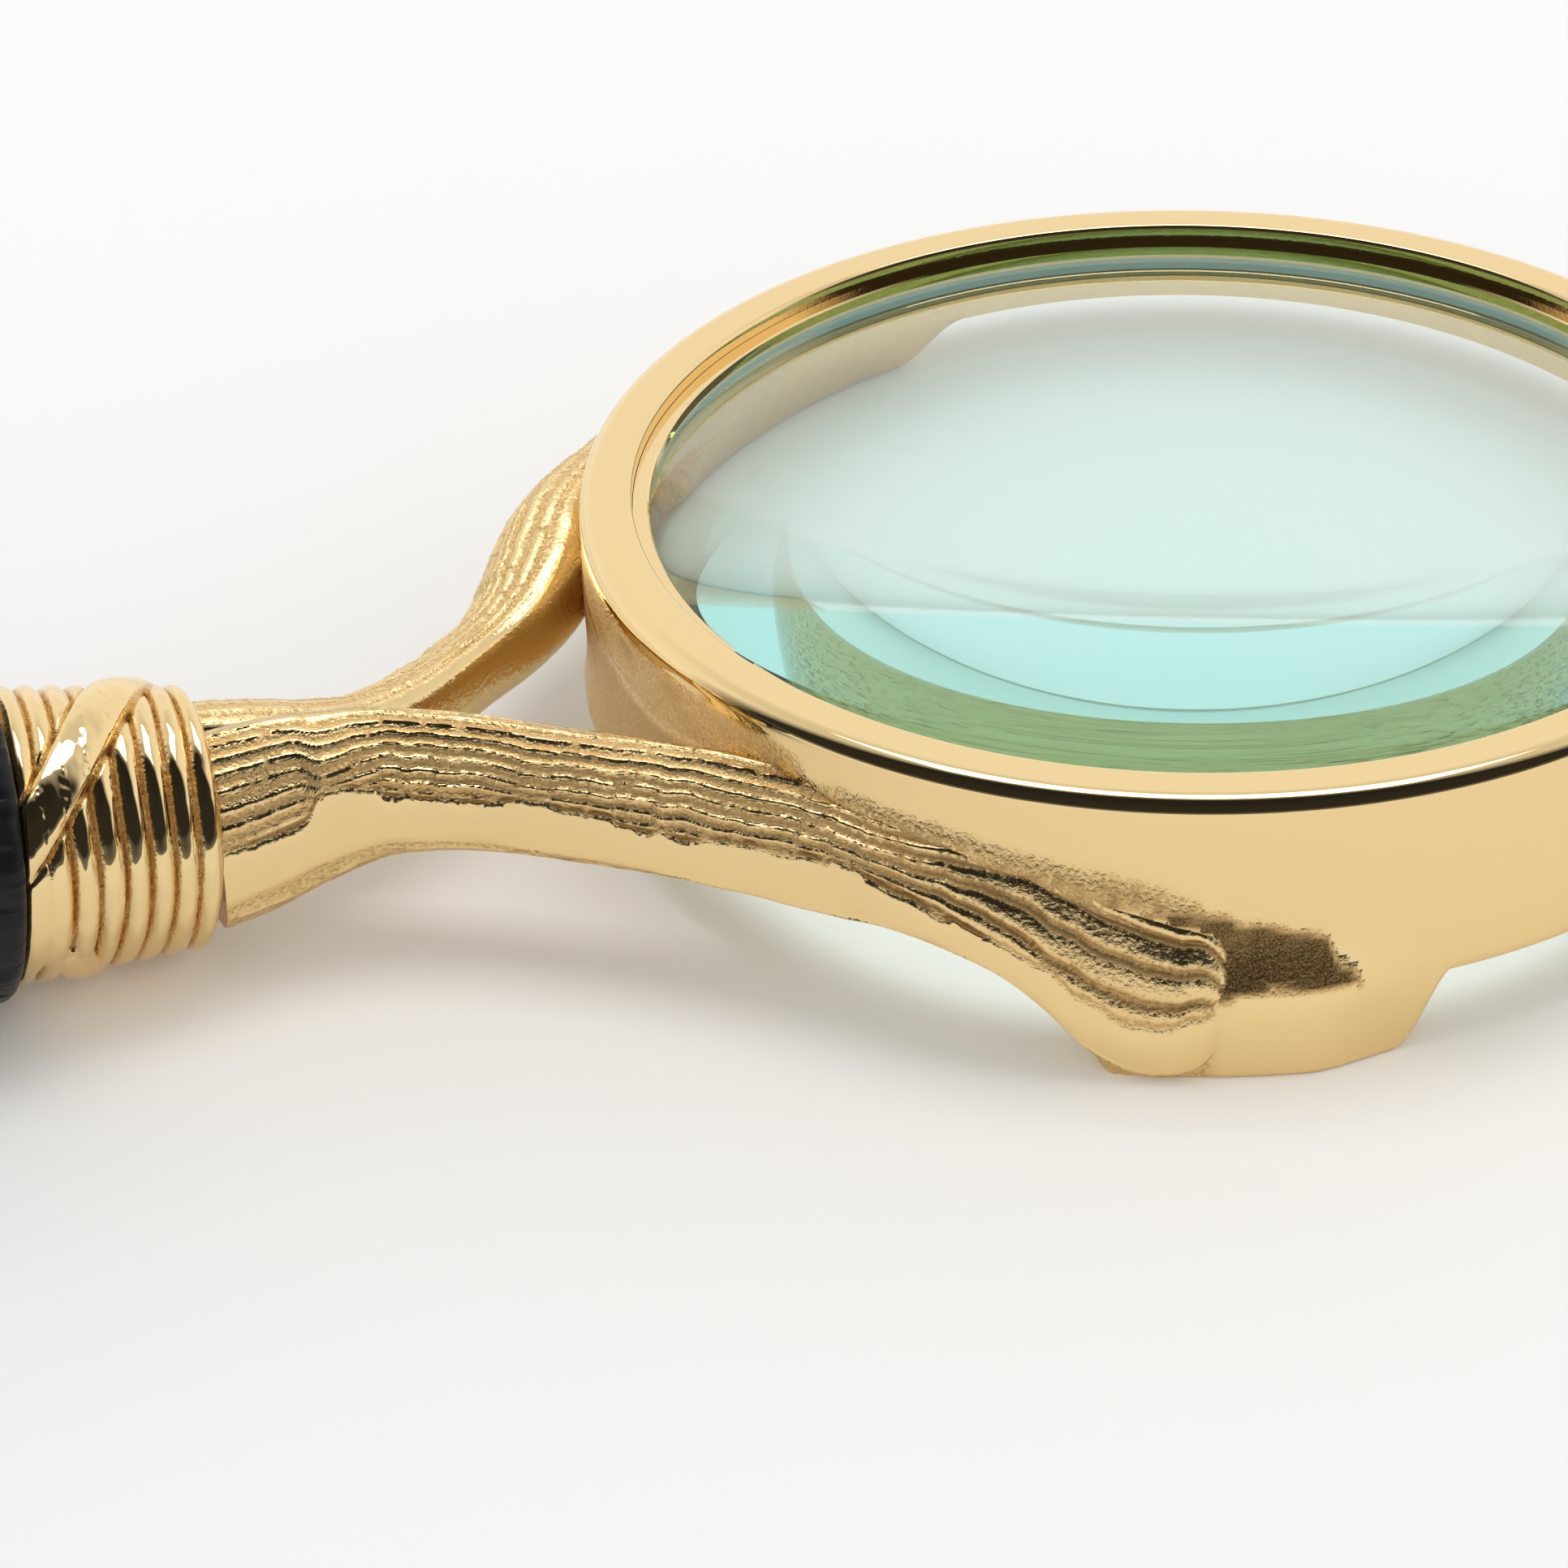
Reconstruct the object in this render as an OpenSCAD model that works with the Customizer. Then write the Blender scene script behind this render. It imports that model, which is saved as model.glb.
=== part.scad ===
// Desk magnifying glass: a cast brass rim on a forked vine-like yoke, a thick
// biconvex lens, a rope-lashed collar and a black grip clamped by a tie rod.
// Millimetres. +Z is up and z = 0 is the table. -X points along the handle.

/* [Rim] */
// Outside diameter of the rim
rim_d = 110; // [104:1:116]
// Width of the flat ring seen from above
rim_wall = 4.8; // [4.6:0.1:5.6]
// Height of the rim's top face above the table
rim_top_z = 26; // [26:0.5:30]
// Depth of the rim band
rim_depth = 19.2; // [16:0.2:19.2]
// Rounding of the rim's outer top edge
rim_edge_r = 1.8; // [0.5:0.1:2.2]

/* [Lens] */
// Radius of curvature of both lens faces
lens_face_r = 260; // [250:5:600]
// Thickness of the lens at its edge
lens_edge_t = 8; // [6:0.2:8.4]
// Drop from the rim's top face to the retaining ring
ring_drop = 1.45; // [1.2:0.05:1.8]
// Thickness of the retaining ring
ring_t = 1; // [0.8:0.1:1.3]
// Radial width of the retaining ring
ring_w = 1.5; // [1.2:0.1:1.8]

/* [Yoke and feet] */
// Distance from the lens axis to the face between neck and collar
neck_reach = 93.2; // [90:0.1:96]
// Height of the handle's axis at that face
neck_z = 12; // [11.8:0.1:12.6]
// Radius of the neck at that face
neck_r = 9.6; // [8.8:0.1:9.9]
// How far the feet stand out from the rim's wall
foot_stand = 2; // [1:0.1:3]
// Angle from the handle at which each foot starts
foot_from = 60; // [56:1:64]
// Angle from the handle at which each foot ends
foot_to = 86; // [80:1:90]

/* [Collar and grip] */
// Rise of the handle's axis away from the rim, in degrees
handle_tilt = 7; // [5:0.5:9]
// Length of the lashed collar
collar_len = 17.5; // [15:0.5:19]
// Radius over the cords at the neck end of the collar
collar_front_r = 11.4; // [11:0.1:11.6]
// Number of cords round the collar
collar_coils = 8; // [5:1:9]
// Length of the grip
grip_len = 100; // [80:1:120]
// Radius of the grip at its rear end
grip_rear_r = 12; // [11:0.1:13]
// How much the middle of the grip swells
grip_swell = 1.2; // [0:0.1:2]

/* [Tie rod and pommel] */
// Radius of the tie rod
rod_r = 3; // [2.5:0.1:3.2]
// Length of the straight part of the pommel
pommel_len = 5; // [4:0.5:8]

/* [Hidden] */
$fn = 96;
slack = 0.05;              // clearance of every close fit
cut = 1;                   // how far a cutter runs past a face

// Rim and lens stack, from the top face down
rim_r = rim_d / 2;
rim_bottom_z = rim_top_z - rim_depth;
bore_r = rim_r - rim_wall;
ring_top_z = rim_top_z - ring_drop;
ring_bottom_z = ring_top_z - ring_t;
cushion_t = 0.4;
cushion_w = 1.2;
glass_gap = 0.25;          // room for the domed face beside the lens edge
lens_r = bore_r - 0.2;
lens_top_z = ring_bottom_z - cushion_t - glass_gap;
lens_bottom_z = lens_top_z - lens_edge_t;
lens_sag = lens_face_r - sqrt(pow(lens_face_r, 2) - pow(lens_r, 2));
seat_z = lens_bottom_z - glass_gap - cushion_t;
seat_r = bore_r - 1.8;
notch_w = 3;
notch_depth = 0.5;
notch_at = 15;

// Feet
foot_r = rim_r + foot_stand;
foot_inner_r = seat_r + 1.2;
foot_top_z = rim_bottom_z + 3;
foot_toe_z = 4;            // height of the upright front face of a foot

// Vine arms: each row is [x, y, height of the middle, half width, half height],
// measured from the lens axis and drawn on the +Y side. The far arm leaves the
// fork lower than the near one and swings wider before it meets the rim.
hug_r = rim_r - 0.8;       // radius of the arm's middle where it follows the rim
function hug(a, z, half_w, half_h, out = 0) =
    [-(hug_r + out) * cos(a), (hug_r + out) * sin(a), z, half_w, half_h];
near_arm_rows = [
    [-79, 4.9, 14.5, 4.1, 6.9],
    [-76, 5.9, 14.9, 4.1, 6.3],
    [-71, 8.6, 15.1, 3.9, 5.6],
    [-64.5, 13.2, 15.2, 3.8, 5.4],
    [-58.2, 18.2, 15.5, 3.7, 5.4],
    [-52, 23.6, 15.8, 3.6, 5.3],
    hug(35, 15.8, 3.5, 4.9),
    hug(45, 14.9, 3.5, 4.4),
    hug(55, 12.2, 3.5, 4.6),
    hug(63, 9.2, 3.5, 5.2),
    hug(69, 7.6, 2.8, 4.6)
];
far_arm_rows = [
    [-80, 4.9, 13.4, 4.1, 5.4],
    [-76, 6, 12.9, 4.1, 4.3],
    [-71, 8.6, 13.1, 3.9, 3.8],
    [-64.5, 13.2, 13.2, 3.8, 3.7],
    [-60, 17.4, 13.8, 3.8, 4.1],
    [-56.6, 22.4, 14.8, 3.7, 4.8],
    [-52.6, 28, 15.7, 3.6, 5.4],
    hug(37, 15.9, 3.9, 5.6, 2.2),
    hug(45, 15, 3.6, 5.2, 1.8),
    hug(54, 12.6, 3.5, 4.9, 0.5),
    hug(63, 9.2, 3.5, 5.2),
    hug(69, 7.6, 2.8, 4.6)
];
arm_steps = 3;             // rings between two rows
arm_sides = 14;
arm_square = 0.75;         // 1 is an ellipse, smaller is squarer

// Neck: a cone that rises from the collar to the fork
neck_len = 17;
neck_rise = 11;            // in degrees
neck_fork_r = 5.2;

// Handle stack, measured along the handle's axis from the neck face
spigot_r = 7;
spigot_len = collar_len - 1;
rod_in_neck = 12;
pin_r = 0.8;
pin_offset = neck_r - 1.1;
pin_depth = 3;
collar_bead = 0.7;         // depth of the valley between two cords
grip_front = collar_len;
grip_rear = grip_front + grip_len;
grip_front_r = (neck_z + grip_front * sin(handle_tilt)) / cos(handle_tilt);
collar_rear_r = grip_front_r - 1.3;
grip_edge = 0.6;
pocket_r = 6.2;
pocket_depth = 8;
washer_t = 1.2;
nut_t = 5;
nut_flats = 10;
pommel_r = grip_rear_r + 0.4;
pommel_dome_r = 14;        // radius of the domed end
pommel_dome_s = grip_rear + pommel_len - sqrt(pow(pommel_dome_r, 2) - pow(pommel_r, 2));
rod_end = grip_rear + pommel_len;

// The lens axis is set so that the origin is under the middle of the whole object
handle_end_x = -neck_reach - pommel_dome_s * cos(handle_tilt) - pommel_dome_r;
lens_x = -(rim_r + handle_end_x) / 2;

brass = [0.86, 0.70, 0.40];
steel = [0.70, 0.71, 0.72];
black = [0.07, 0.07, 0.08];
rubber = [0.16, 0.16, 0.16];
glass = [0.66, 0.86, 0.78, 0.5];

// A ring of rectangular section about the lens axis
module flat_ring(outer_r, inner_r, z0, z1) {
    translate([0, 0, z0]) difference() {
        cylinder(r = outer_r, h = z1 - z0);
        translate([0, 0, -cut]) cylinder(r = inner_r, h = z1 - z0 + 2 * cut);
    }
}

// Places children drawn about +Z on the handle's axis, starting at the neck face
module on_handle() {
    translate([lens_x - neck_reach, 0, neck_z]) rotate([0, handle_tilt - 90, 0]) children();
}

module on_lens_axis() {
    translate([lens_x, 0, 0]) children();
}

// Smooth curve through four successive rows, t from 0 to 1 between b and c
function catmull(a, b, c, d, t) =
    0.5 * (2 * b + (c - a) * t + (2 * a - 5 * b + 4 * c - d) * t * t
           + (3 * b - a - 3 * c + d) * t * t * t);
function row_at(rows, i) = rows[max(0, min(len(rows) - 1, i))];
function arm_at(rows, i, t) =
    catmull(row_at(rows, i - 1), row_at(rows, i), row_at(rows, i + 1), row_at(rows, i + 2), t);
function squared(v) = sign(v) * pow(abs(v), arm_square);

// One ring of the arm: a squarish oval across the direction of the path
function arm_ring(row, ahead) =
    let (run = [ahead[0] - row[0], ahead[1] - row[1]], side = [-run[1], run[0]] / norm(run))
    [for (k = [0:arm_sides - 1])
        let (a = 360 * k / arm_sides,
             out = row[3] * squared(cos(a)),
             up = row[4] * squared(sin(a)))
        [row[0] + side[0] * out, row[1] + side[1] * out, row[2] + up]];

module arm(rows) {
    last = (len(rows) - 1) * arm_steps;
    path = [for (j = [0:last]) arm_at(rows, floor(j / arm_steps), (j % arm_steps) / arm_steps)];
    rings = [for (j = [0:last])
        j < last ? arm_ring(path[j], path[j + 1]) : arm_ring(path[j], 2 * path[j] - path[j - 1])];
    walls = [for (j = [0:last - 1], k = [0:arm_sides - 1])
        let (a = j * arm_sides + k, b = j * arm_sides + (k + 1) % arm_sides)
        each [[a, a + arm_sides, b], [b, a + arm_sides, b + arm_sides]]];
    near_cap = [[for (k = [0:arm_sides - 1]) k]];
    far_cap = [[for (k = [arm_sides - 1:-1:0]) last * arm_sides + k]];
    polyhedron([for (ring = rings) each ring], concat(walls, near_cap, far_cap));
}

// Section of the rim band: a rounded outer top edge and a shoulder for the lens
module rim_section() {
    round_z = rim_top_z - rim_edge_r;
    polygon(concat(
        [[seat_r, rim_bottom_z], [rim_r - 0.5, rim_bottom_z], [rim_r, rim_bottom_z + 0.5]],
        [for (a = [0:15:90]) [rim_r - rim_edge_r + rim_edge_r * cos(a), round_z + rim_edge_r * sin(a)]],
        [[bore_r + 0.4, rim_top_z], [bore_r, rim_top_z - 0.4], [bore_r, seat_z], [seat_r, seat_z]]));
}

// A foot under the rim, with an upright toe and a shoulder that slopes up to the wall
module foot() {
    rotate([0, 0, 180 - foot_to]) rotate_extrude(angle = foot_to - foot_from)
        polygon([[foot_inner_r, 0], [foot_r, 0], [foot_r, foot_toe_z], [rim_r - 1, foot_top_z],
                 [foot_inner_r, foot_top_z]]);
}

module both_sides() {
    children();
    mirror([0, 1, 0]) children();
}

module frame_casting() {
    color(brass) difference() {
        union() {
            on_lens_axis() rotate_extrude() rim_section();
            on_lens_axis() arm(far_arm_rows);
            on_lens_axis() mirror([0, 1, 0]) arm(near_arm_rows);
            on_lens_axis() both_sides() foot();
            on_lens_axis() translate([-neck_reach, 0, neck_z]) rotate([0, 90 - neck_rise, 0])
                cylinder(r1 = neck_r, r2 = neck_fork_r, h = neck_len);
            on_handle() translate([0, 0, -3]) cylinder(r = neck_r, h = 3);
            on_handle() translate([0, 0, -4]) cylinder(r = spigot_r, h = spigot_len + 4);
        }
        on_handle() translate([0, 0, -rod_in_neck]) cylinder(r = rod_r + slack, h = rod_in_neck + collar_len);
        on_handle() translate([-pin_offset, 0, -pin_depth]) cylinder(r = pin_r + slack, h = pin_depth + cut);
    }
}

module lens() {
    middle_z = (lens_top_z + lens_bottom_z) / 2;
    centre = lens_face_r - lens_sag - lens_edge_t / 2;
    color(glass) on_lens_axis() intersection() {
        translate([0, 0, middle_z - lens_edge_t]) translate([0, 0, -lens_sag])
            cylinder(r = lens_r, h = 2 * (lens_edge_t + lens_sag));
        translate([0, 0, middle_z + centre]) sphere(r = lens_face_r, $fn = 240);
        translate([0, 0, middle_z - centre]) sphere(r = lens_face_r, $fn = 240);
    }
}

module lens_cushion() {
    color(rubber) on_lens_axis() flat_ring(lens_r, lens_r - cushion_w, seat_z, seat_z + cushion_t);
}

module lens_top_cushion() {
    color(rubber) on_lens_axis()
        flat_ring(lens_r, lens_r - cushion_w, ring_bottom_z - cushion_t, ring_bottom_z);
}

module retaining_ring() {
    color(brass) on_lens_axis() difference() {
        flat_ring(bore_r - slack, bore_r - ring_w, ring_bottom_z, ring_top_z);
        for (turn = [0, 180]) rotate(notch_at + turn)
            translate([bore_r - cut * 2, -notch_w / 2, ring_top_z - notch_depth])
                cube([cut * 4, notch_w, notch_depth + cut]);
    }
}

// Sleeve whose outside is a row of beads, one for each turn of cord
module lashed_collar() {
    pitch = collar_len / collar_coils;
    steps = 8;
    function crest(s) = collar_front_r + (collar_rear_r - collar_front_r) * s / collar_len;
    outline = [for (c = [0:collar_coils - 1], k = [0:steps - (c < collar_coils - 1 ? 1 : 0)])
        let (s = pitch * (c + k / steps)) [crest(s) - collar_bead * (1 - sin(180 * k / steps)), s]];
    color(brass) on_handle() difference() {
        rotate_extrude() polygon(concat([[0, 0]], outline, [[0, collar_len]]));
        translate([0, 0, -cut]) cylinder(r = spigot_r + slack, h = collar_len + 2 * cut);
        translate([-pin_offset, 0, -cut]) cylinder(r = pin_r + slack, h = pin_depth + cut + slack);
    }
}

module collar_pin() {
    color(steel) on_handle() translate([-pin_offset, 0, slack - pin_depth])
        cylinder(r = pin_r, h = 2 * pin_depth - slack);
}

// Barrel-shaped grip, bored for the rod, with a pocket for the washer and nut
module grip() {
    steps = 16;
    function body_r(t) = grip_front_r + (grip_rear_r - grip_front_r) * t + grip_swell * sin(180 * t);
    outline = [for (k = [0:steps]) [body_r(k / steps), grip_front + grip_len * k / steps]];
    color(black) on_handle() difference() {
        rotate_extrude() polygon(concat([[0, grip_front]], outline, [[0, grip_rear]]));
        translate([0, 0, grip_front - cut]) cylinder(r = rod_r + 0.3, h = grip_len + 2 * cut);
        translate([0, 0, grip_rear - pocket_depth]) cylinder(r = pocket_r, h = pocket_depth + cut);
    }
}

module tie_rod() {
    color(steel) on_handle() translate([0, 0, slack - rod_in_neck])
        cylinder(r = rod_r, h = rod_in_neck + rod_end - 2 * slack);
}

module tie_rod_washer() {
    color(steel) on_handle() translate([0, 0, grip_rear - pocket_depth]) difference() {
        cylinder(r = pocket_r - 0.2, h = washer_t);
        translate([0, 0, -cut]) cylinder(r = rod_r + 0.2, h = washer_t + 2 * cut);
    }
}

module tie_rod_nut() {
    color(steel) on_handle() translate([0, 0, grip_rear - pocket_depth + washer_t]) difference() {
        cylinder(r = nut_flats / 2 / cos(30), h = nut_t, $fn = 6);
        translate([0, 0, -cut]) cylinder(r = rod_r + slack, h = nut_t + 2 * cut);
    }
}

// Domed cap that screws on the end of the rod and covers the nut
module pommel() {
    color(brass) on_handle() difference() {
        intersection() {
            translate([0, 0, grip_rear]) cylinder(r = pommel_r, h = pommel_len + pommel_dome_r);
            translate([0, 0, pommel_dome_s]) sphere(r = pommel_dome_r);
        }
        translate([0, 0, grip_rear - cut]) cylinder(r = rod_r + slack, h = pommel_len + cut);
    }
}

frame_casting();
lens();
lens_cushion();
lens_top_cushion();
retaining_ring();
lashed_collar();
collar_pin();
grip();
tie_rod();
tie_rod_washer();
tie_rod_nut();
pommel();
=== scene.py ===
"""Desk magnifying glass: detailed meshes, materials, light and camera around the CAD frame."""
import math

import bmesh
import bpy
import numpy as np
from mathutils import Matrix, Vector, kdtree


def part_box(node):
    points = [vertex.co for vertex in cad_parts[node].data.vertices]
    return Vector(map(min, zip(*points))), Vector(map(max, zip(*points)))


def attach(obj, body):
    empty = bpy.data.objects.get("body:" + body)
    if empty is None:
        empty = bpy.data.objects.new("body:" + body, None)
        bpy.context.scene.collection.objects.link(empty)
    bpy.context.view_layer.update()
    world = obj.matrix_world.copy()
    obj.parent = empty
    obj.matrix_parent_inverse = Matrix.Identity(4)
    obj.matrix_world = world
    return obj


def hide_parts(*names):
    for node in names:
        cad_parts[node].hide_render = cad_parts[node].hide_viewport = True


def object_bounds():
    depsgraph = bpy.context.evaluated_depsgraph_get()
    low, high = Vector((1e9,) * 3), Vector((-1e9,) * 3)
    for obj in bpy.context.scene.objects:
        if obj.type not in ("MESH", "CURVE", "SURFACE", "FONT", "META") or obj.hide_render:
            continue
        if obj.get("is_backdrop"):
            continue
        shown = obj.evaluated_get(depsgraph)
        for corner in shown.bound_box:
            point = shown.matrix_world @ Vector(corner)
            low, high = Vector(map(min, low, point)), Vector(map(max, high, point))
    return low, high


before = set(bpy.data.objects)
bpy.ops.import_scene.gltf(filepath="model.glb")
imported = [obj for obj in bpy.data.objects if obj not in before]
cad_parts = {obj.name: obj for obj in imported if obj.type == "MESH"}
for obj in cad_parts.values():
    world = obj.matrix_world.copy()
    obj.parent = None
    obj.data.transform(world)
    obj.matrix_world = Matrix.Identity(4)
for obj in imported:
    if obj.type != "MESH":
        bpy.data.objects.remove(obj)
bounds_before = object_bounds()

# ---- Frame of the object, millimetres --------------------------------------
MM = 0.001
lens_lo, lens_hi = (np.array(v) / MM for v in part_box("lens"))
ring_lo, ring_hi = (np.array(v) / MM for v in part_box("retaining_ring"))
rim_hi = np.array(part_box("frame_casting")[1]) / MM
AXIS_X = (lens_lo[0] + lens_hi[0]) / 2          # lens axis
RIM_R = 55.0
TOP_Z = rim_hi[2]
EDGE_R = 1.65                                    # rounding of the rim's top
LENS_R = (lens_hi[0] - lens_lo[0]) / 2
BORE_R = LENS_R + 0.2
SEAT_R = BORE_R - 1.8
SEAT_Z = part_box("lens_cushion")[0][2] / MM
CUSHION_T, CUSHION_W = 0.4, 1.2
LIP_Z = 6.8                                      # bottom of the rim band
NECK = np.array([AXIS_X - 93.2, 0.0, 12.0])      # neck face on the handle's axis
TILT = math.radians(7)
ALONG = np.array([-math.cos(TILT), 0.0, math.sin(TILT)])
HANDLE_UP = np.array([math.sin(TILT), 0.0, math.cos(TILT)])
COLLAR_LEN = 17.5
COLLAR_FRONT_R = 11.4
PITCH = COLLAR_LEN / 8
PIN_AT = 8.5
GRIP_LEN = 100.0
GRIP_FRONT_R = (NECK[2] + COLLAR_LEN * math.sin(TILT)) / math.cos(TILT)
GRIP_REAR_R = 12.0
GRIP_REAR = COLLAR_LEN + GRIP_LEN
POCKET = 8.0                                     # depth of the nut's pocket in the grip's rear
COLLAR_REAR_R = GRIP_FRONT_R - 1.3
SPIGOT_R, COLLAR_BORE_R = 7.0, 7.05
ROD_R, ROD_BORE_R = 3.0, 3.05
PIN_R, PIN_BORE_R = 0.8, 0.85
WASHER_R, WASHER_T, WASHER_BORE_R = 6.0, 1.2, 3.2
NUT_FLAT, NUT_H = 5.0, 5.0

# ---- Small maths -----------------------------------------------------------
CELLS = 32
LATTICE = np.random.default_rng(11).random((CELLS, CELLS, CELLS))


def noise(x, y, z=0.0):
    """Smooth value noise from -1 to 1."""
    p = np.stack(np.broadcast_arrays(x, y, z), -1).astype(float)
    i = np.floor(p).astype(int)
    f = p - i
    f = f * f * (3 - 2 * f)
    total = 0.0
    for a in (0, 1):
        for b in (0, 1):
            for c in (0, 1):
                w = (np.abs(1 - a - f[..., 0]) * np.abs(1 - b - f[..., 1]) * np.abs(1 - c - f[..., 2]))
                near = (i + (a, b, c)) % CELLS
                total = total + w * LATTICE[near[..., 0], near[..., 1], near[..., 2]]
    return 2 * total - 1


def smooth(x, lo, hi):
    """Smooth step from 0 at lo to 1 at hi."""
    t = np.clip((x - lo) / (hi - lo), 0, 1)
    return t * t * (3 - 2 * t)


def spline(p0, p1, p2, p3, f):
    """Catmull-Rom point between p1 and p2 at fraction f."""
    return 0.5 * (2 * p1 + (p2 - p0) * f + (2 * p0 - 5 * p1 + 4 * p2 - p3) * f ** 2
                  + (3 * p1 - p0 - 3 * p2 + p3) * f ** 3)


def catmull(rows, t):
    """Catmull-Rom curve through rows at parameters t in row units."""
    rows = np.asarray(rows, float)
    i = np.clip(np.floor(t).astype(int), 0, len(rows) - 2)
    f = (t - i)[:, None]
    p0, p1 = rows[np.maximum(i - 1, 0)], rows[i]
    p2, p3 = rows[i + 1], rows[np.minimum(i + 2, len(rows) - 1)]
    return spline(p0, p1, p2, p3, f)


# ---- Mesh builders ---------------------------------------------------------
def make_object(name, verts, faces, material, cast=None, sharp=35):
    """A closed, outward-facing mesh in metres with an optional as-cast attribute."""
    mesh = bpy.data.meshes.new(name)
    mesh.from_pydata((np.asarray(verts) * MM).tolist(), [], faces)
    if cast is not None:
        mesh.attributes.new("cast", "FLOAT", "POINT").data.foreach_set("value", np.asarray(cast, np.float32))
    bm = bmesh.new()
    bm.from_mesh(mesh)
    bmesh.ops.remove_doubles(bm, verts=bm.verts, dist=1e-7)
    bmesh.ops.delete(bm, geom=[e for e in bm.edges if not e.link_faces], context="EDGES")
    if bm.calc_volume(signed=True) < 0:
        bmesh.ops.reverse_faces(bm, faces=bm.faces)
    bm.to_mesh(mesh)
    bm.free()
    mesh.materials.append(material)
    finish_shading(mesh, sharp)
    obj = bpy.data.objects.new(name, mesh)
    bpy.context.collection.objects.link(obj)
    return obj


def finish_shading(mesh, sharp):
    """Smooth shading, with edges sharper than the given degrees kept sharp."""
    mesh.polygons.foreach_set("use_smooth", [True] * len(mesh.polygons))
    mesh.set_sharp_from_angle(angle=math.radians(sharp))
    mesh.update()


def grid_faces(rows, cols, wrap_rows):
    """Quads of a grid whose columns always wrap, and whose rows wrap if asked to."""
    r = np.arange(rows if wrap_rows else rows - 1)[:, None]
    c = np.arange(cols)[None, :]
    r2, c2 = (r + 1) % rows, (c + 1) % cols
    quads = np.stack([r * cols + c, r2 * cols + c, r2 * cols + c2, r * cols + c2], -1)
    return quads.reshape(-1, 4).tolist()


def ring_mesh(name, pts, material, cast=None, sharp=35):
    """pts is (around, profile, 3); both directions close."""
    n, m, _ = pts.shape
    return make_object(name, pts.reshape(-1, 3), grid_faces(n, m, True), material,
                       None if cast is None else cast.reshape(-1), sharp)


def tube_mesh(name, pts, material, cast=None, sharp=35):
    """pts is (along, section, 3) with a fan at each end."""
    n, m, _ = pts.shape
    verts = np.concatenate([pts.reshape(-1, 3), pts[0].mean(0)[None], pts[-1].mean(0)[None]])
    faces = grid_faces(n, m, False)
    for k in range(m):
        faces.append([n * m, k, (k + 1) % m])
        faces.append([n * m + 1, (n - 1) * m + (k + 1) % m, (n - 1) * m + k])
    if cast is not None:
        cast = np.concatenate([cast.reshape(-1), [0, 0]])
    return make_object(name, verts, faces, material, cast, sharp)


def lathe(name, profile, material, around=192, handle=False, cast=None, sharp=35):
    """Revolve a closed (r, z) profile about the lens axis or the handle's axis."""
    profile = np.asarray(profile, float)
    a = np.linspace(0, 2 * math.pi, around, endpoint=False)[:, None]
    r, z = profile[None, :, 0], profile[None, :, 1]
    pts = place(r * np.cos(a), r * np.sin(a), z + 0 * a, handle)
    return ring_mesh(name, pts, material, cast, sharp)


def place(x, y, z, handle):
    """Local coordinates to object millimetres. Handle: x up, y to +Y, z away from the neck."""
    if not handle:
        return np.stack(np.broadcast_arrays(x + AXIS_X, y, z), -1)
    x, y, z = np.broadcast_arrays(x, y, z)
    side = np.array([0.0, 1.0, 0.0])
    return NECK + x[..., None] * HANDLE_UP + y[..., None] * side + z[..., None] * ALONG


def rod(name, radius, start, end, material, up=0.0):
    """Solid cylinder along the handle's axis, shifted by up."""
    a = np.linspace(0, 2 * math.pi, 96, endpoint=False)[None, :]
    z = np.array([start, end])[:, None]
    pts = place(up + radius * np.cos(a) + 0 * z, radius * np.sin(a) + 0 * z, z + 0 * a, True)
    return tube_mesh(name, pts, material, np.zeros(pts.shape[:2]), 35)


def boolean(base, others, operation):
    """Join the others to base or cut them from it, and delete them."""
    for o in others:
        mod = base.modifiers.new("solid", "BOOLEAN")
        mod.operation, mod.object, mod.solver = operation, o, "MANIFOLD"
    graph = bpy.context.evaluated_depsgraph_get()
    mesh = bpy.data.meshes.new_from_object(base.evaluated_get(graph))
    base.modifiers.clear()
    base.data = mesh
    for o in others:
        bpy.data.objects.remove(o)


# ---- Materials -------------------------------------------------------------
def new_material(name):
    material = bpy.data.materials.new(name)
    material.use_nodes = True
    tree = material.node_tree
    return material, tree, tree.nodes["Principled BSDF"]


def link(tree, a, b):
    tree.links.new(a, b)


def add(tree, kind, **inputs):
    """A new node with the named inputs set."""
    node = tree.nodes.new(kind)
    for key, value in inputs.items():
        node.inputs[key].default_value = value
    return node


def remap(tree, source, from_range, to_range):
    """Map Range node on a socket."""
    node = tree.nodes.new("ShaderNodeMapRange")
    for key, value in zip(("From Min", "From Max", "To Min", "To Max"), (*from_range, *to_range)):
        node.inputs[key].default_value = value
    link(tree, source, node.inputs["Value"])
    return node.outputs["Result"]


def compute(tree, operation, *operands, clamp=False):
    """Math node whose operands are numbers or sockets."""
    node = tree.nodes.new("ShaderNodeMath")
    node.operation, node.use_clamp = operation, clamp
    for slot, operand in zip(node.inputs, operands):
        if isinstance(operand, float):
            slot.default_value = operand
        else:
            link(tree, operand, slot)
    return node.outputs[0]


def tint(tree, base, colour, factor):
    """Mix a colour over a base, which is a colour or a socket."""
    node = tree.nodes.new("ShaderNodeMix")
    node.data_type = "RGBA"
    if isinstance(base, tuple):
        node.inputs["A"].default_value = (*base, 1)
    else:
        link(tree, base, node.inputs["A"])
    node.inputs["B"].default_value = (*colour, 1)
    link(tree, factor, node.inputs["Factor"])
    return node.outputs["Result"]


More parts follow.
